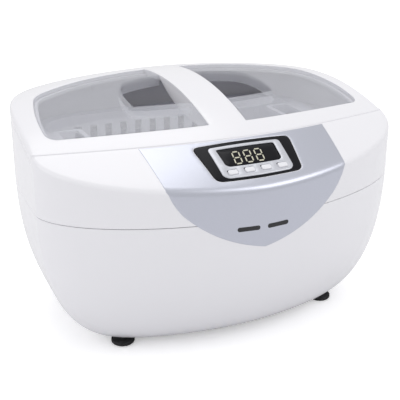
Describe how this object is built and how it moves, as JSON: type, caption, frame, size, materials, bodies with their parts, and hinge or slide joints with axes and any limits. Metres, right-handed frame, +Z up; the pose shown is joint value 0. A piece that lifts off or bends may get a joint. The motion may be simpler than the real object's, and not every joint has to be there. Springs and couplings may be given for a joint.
{
  "type": "ultrasonic cleaner",
  "caption": "Desktop ultrasonic cleaner with a bowl-shaped housing, domed deck with a digital panel, a hinged windowed lid and a lift-out basket in a steel tank.",
  "frame": {"origin": "on the surface it stands on, under the middle of the overall width and depth", "axes": "+Z up, -Y towards the control panel at the front, +X to the right seen from the front"},
  "size_m": [0.293, 0.2256, 0.1806],
  "materials": {
    "white_shell": "glossy white moulded shell, faintly cool",
    "silver_fascia": "silver-grey painted panel, satin",
    "black_bezel": "deep gloss black",
    "bright_trim": "bright silver trim line",
    "smoke_window": "lightly smoked clear plastic",
    "display_glass": "dark clear plastic over the digits",
    "button_cap": "satin off-white keycap",
    "stainless": "drawn stainless steel, satin",
    "basket_plastic": "light grey moulded plastic",
    "foot_rubber": "dark grey rubber",
    "silicone": "translucent white silicone",
    "circuit_board": "green solder resist",
    "plain_aluminium": "machined aluminium",
    "ceramic": "silvered ceramic discs",
    "heater_silicone": "orange-red silicone heater",
    "dark_plastic": "black engineering plastic",
    "copper_winding": "enamelled copper winding",
    "plated_steel": "zinc-plated steel"
  },
  "bodies": {
    "housing": {"lower_housing": "white_shell", "upper_housing": "white_shell", "fascia_panel": "silver_fascia", "display_bezel": "black_bezel", "display_faceplate": "bright_trim", "display_lens": "display_glass", "display_module": "dark_plastic", "control_board": "circuit_board", "hinge_pin_left": "plated_steel", "hinge_pin_right": "plated_steel", "tank": "stainless", "tank_gasket": "silicone", "heater_pad": "heater_silicone", "thermal_cutout": "dark_plastic", "fan_frame": "dark_plastic", "power_inlet": "dark_plastic", "driver_board": "circuit_board", "heat_sink": "plain_aluminium", "output_coil": "copper_winding", "filter_capacitor": "dark_plastic", "power_relay": "dark_plastic", "transducer_bell_left": "plain_aluminium", "piezo_stack_left": "ceramic", "back_mass_left": "plated_steel", "transducer_bolt_left": "plated_steel", "transducer_bell_right": "plain_aluminium", "piezo_stack_right": "ceramic", "back_mass_right": "plated_steel", "transducer_bolt_right": "plated_steel", "foot_1": "foot_rubber", "foot_2": "foot_rubber", "foot_3": "foot_rubber", "foot_4": "foot_rubber", "case_screw_1": "plated_steel", "case_screw_2": "plated_steel"},
    "lid": {"lid_frame": "white_shell", "window_left": "smoke_window", "window_right": "smoke_window"},
    "start_key": {"start_button": "button_cap"},
    "stop_key": {"stop_button": "button_cap"},
    "time_key": {"time_button": "button_cap"},
    "heat_key": {"heat_button": "button_cap"},
    "fan_wheel": {"fan_rotor": "dark_plastic"},
    "basket_body": {"basket": "basket_plastic", "basket_handle_left": "basket_plastic", "basket_handle_right": "basket_plastic"}
  },
  "joints": [
    {"name": "lid_hinge", "type": "hinge", "parent": "housing", "child": "lid", "pos_m": [0, 0.109, 0.1635], "axis": [-1, 0, 0], "range_deg": [0, 95]},
    {"name": "start_press", "type": "slide", "parent": "housing", "child": "start_key", "axis": [0, 0.4793, -0.8777], "range_m": [0, 0.0012], "stiffness_N_per_m": 300, "springref_m": -0.0006},
    {"name": "stop_press", "type": "slide", "parent": "housing", "child": "stop_key", "axis": [0, 0.4793, -0.8777], "range_m": [0, 0.0012], "stiffness_N_per_m": 300, "springref_m": -0.0006},
    {"name": "time_press", "type": "slide", "parent": "housing", "child": "time_key", "axis": [0, 0.4793, -0.8777], "range_m": [0, 0.0012], "stiffness_N_per_m": 300, "springref_m": -0.0006},
    {"name": "heat_press", "type": "slide", "parent": "housing", "child": "heat_key", "axis": [0, 0.4793, -0.8777], "range_m": [0, 0.0012], "stiffness_N_per_m": 300, "springref_m": -0.0006},
    {"name": "fan_spin", "type": "hinge", "parent": "housing", "child": "fan_wheel", "pos_m": [0, 0.0235, 0.015], "axis": [0, 0, 1], "continuous": true},
    {"name": "basket_lift", "type": "slide", "parent": "housing", "child": "basket_body", "axis": [0, 0, 1], "range_m": [0, 0.009]}
  ]
}
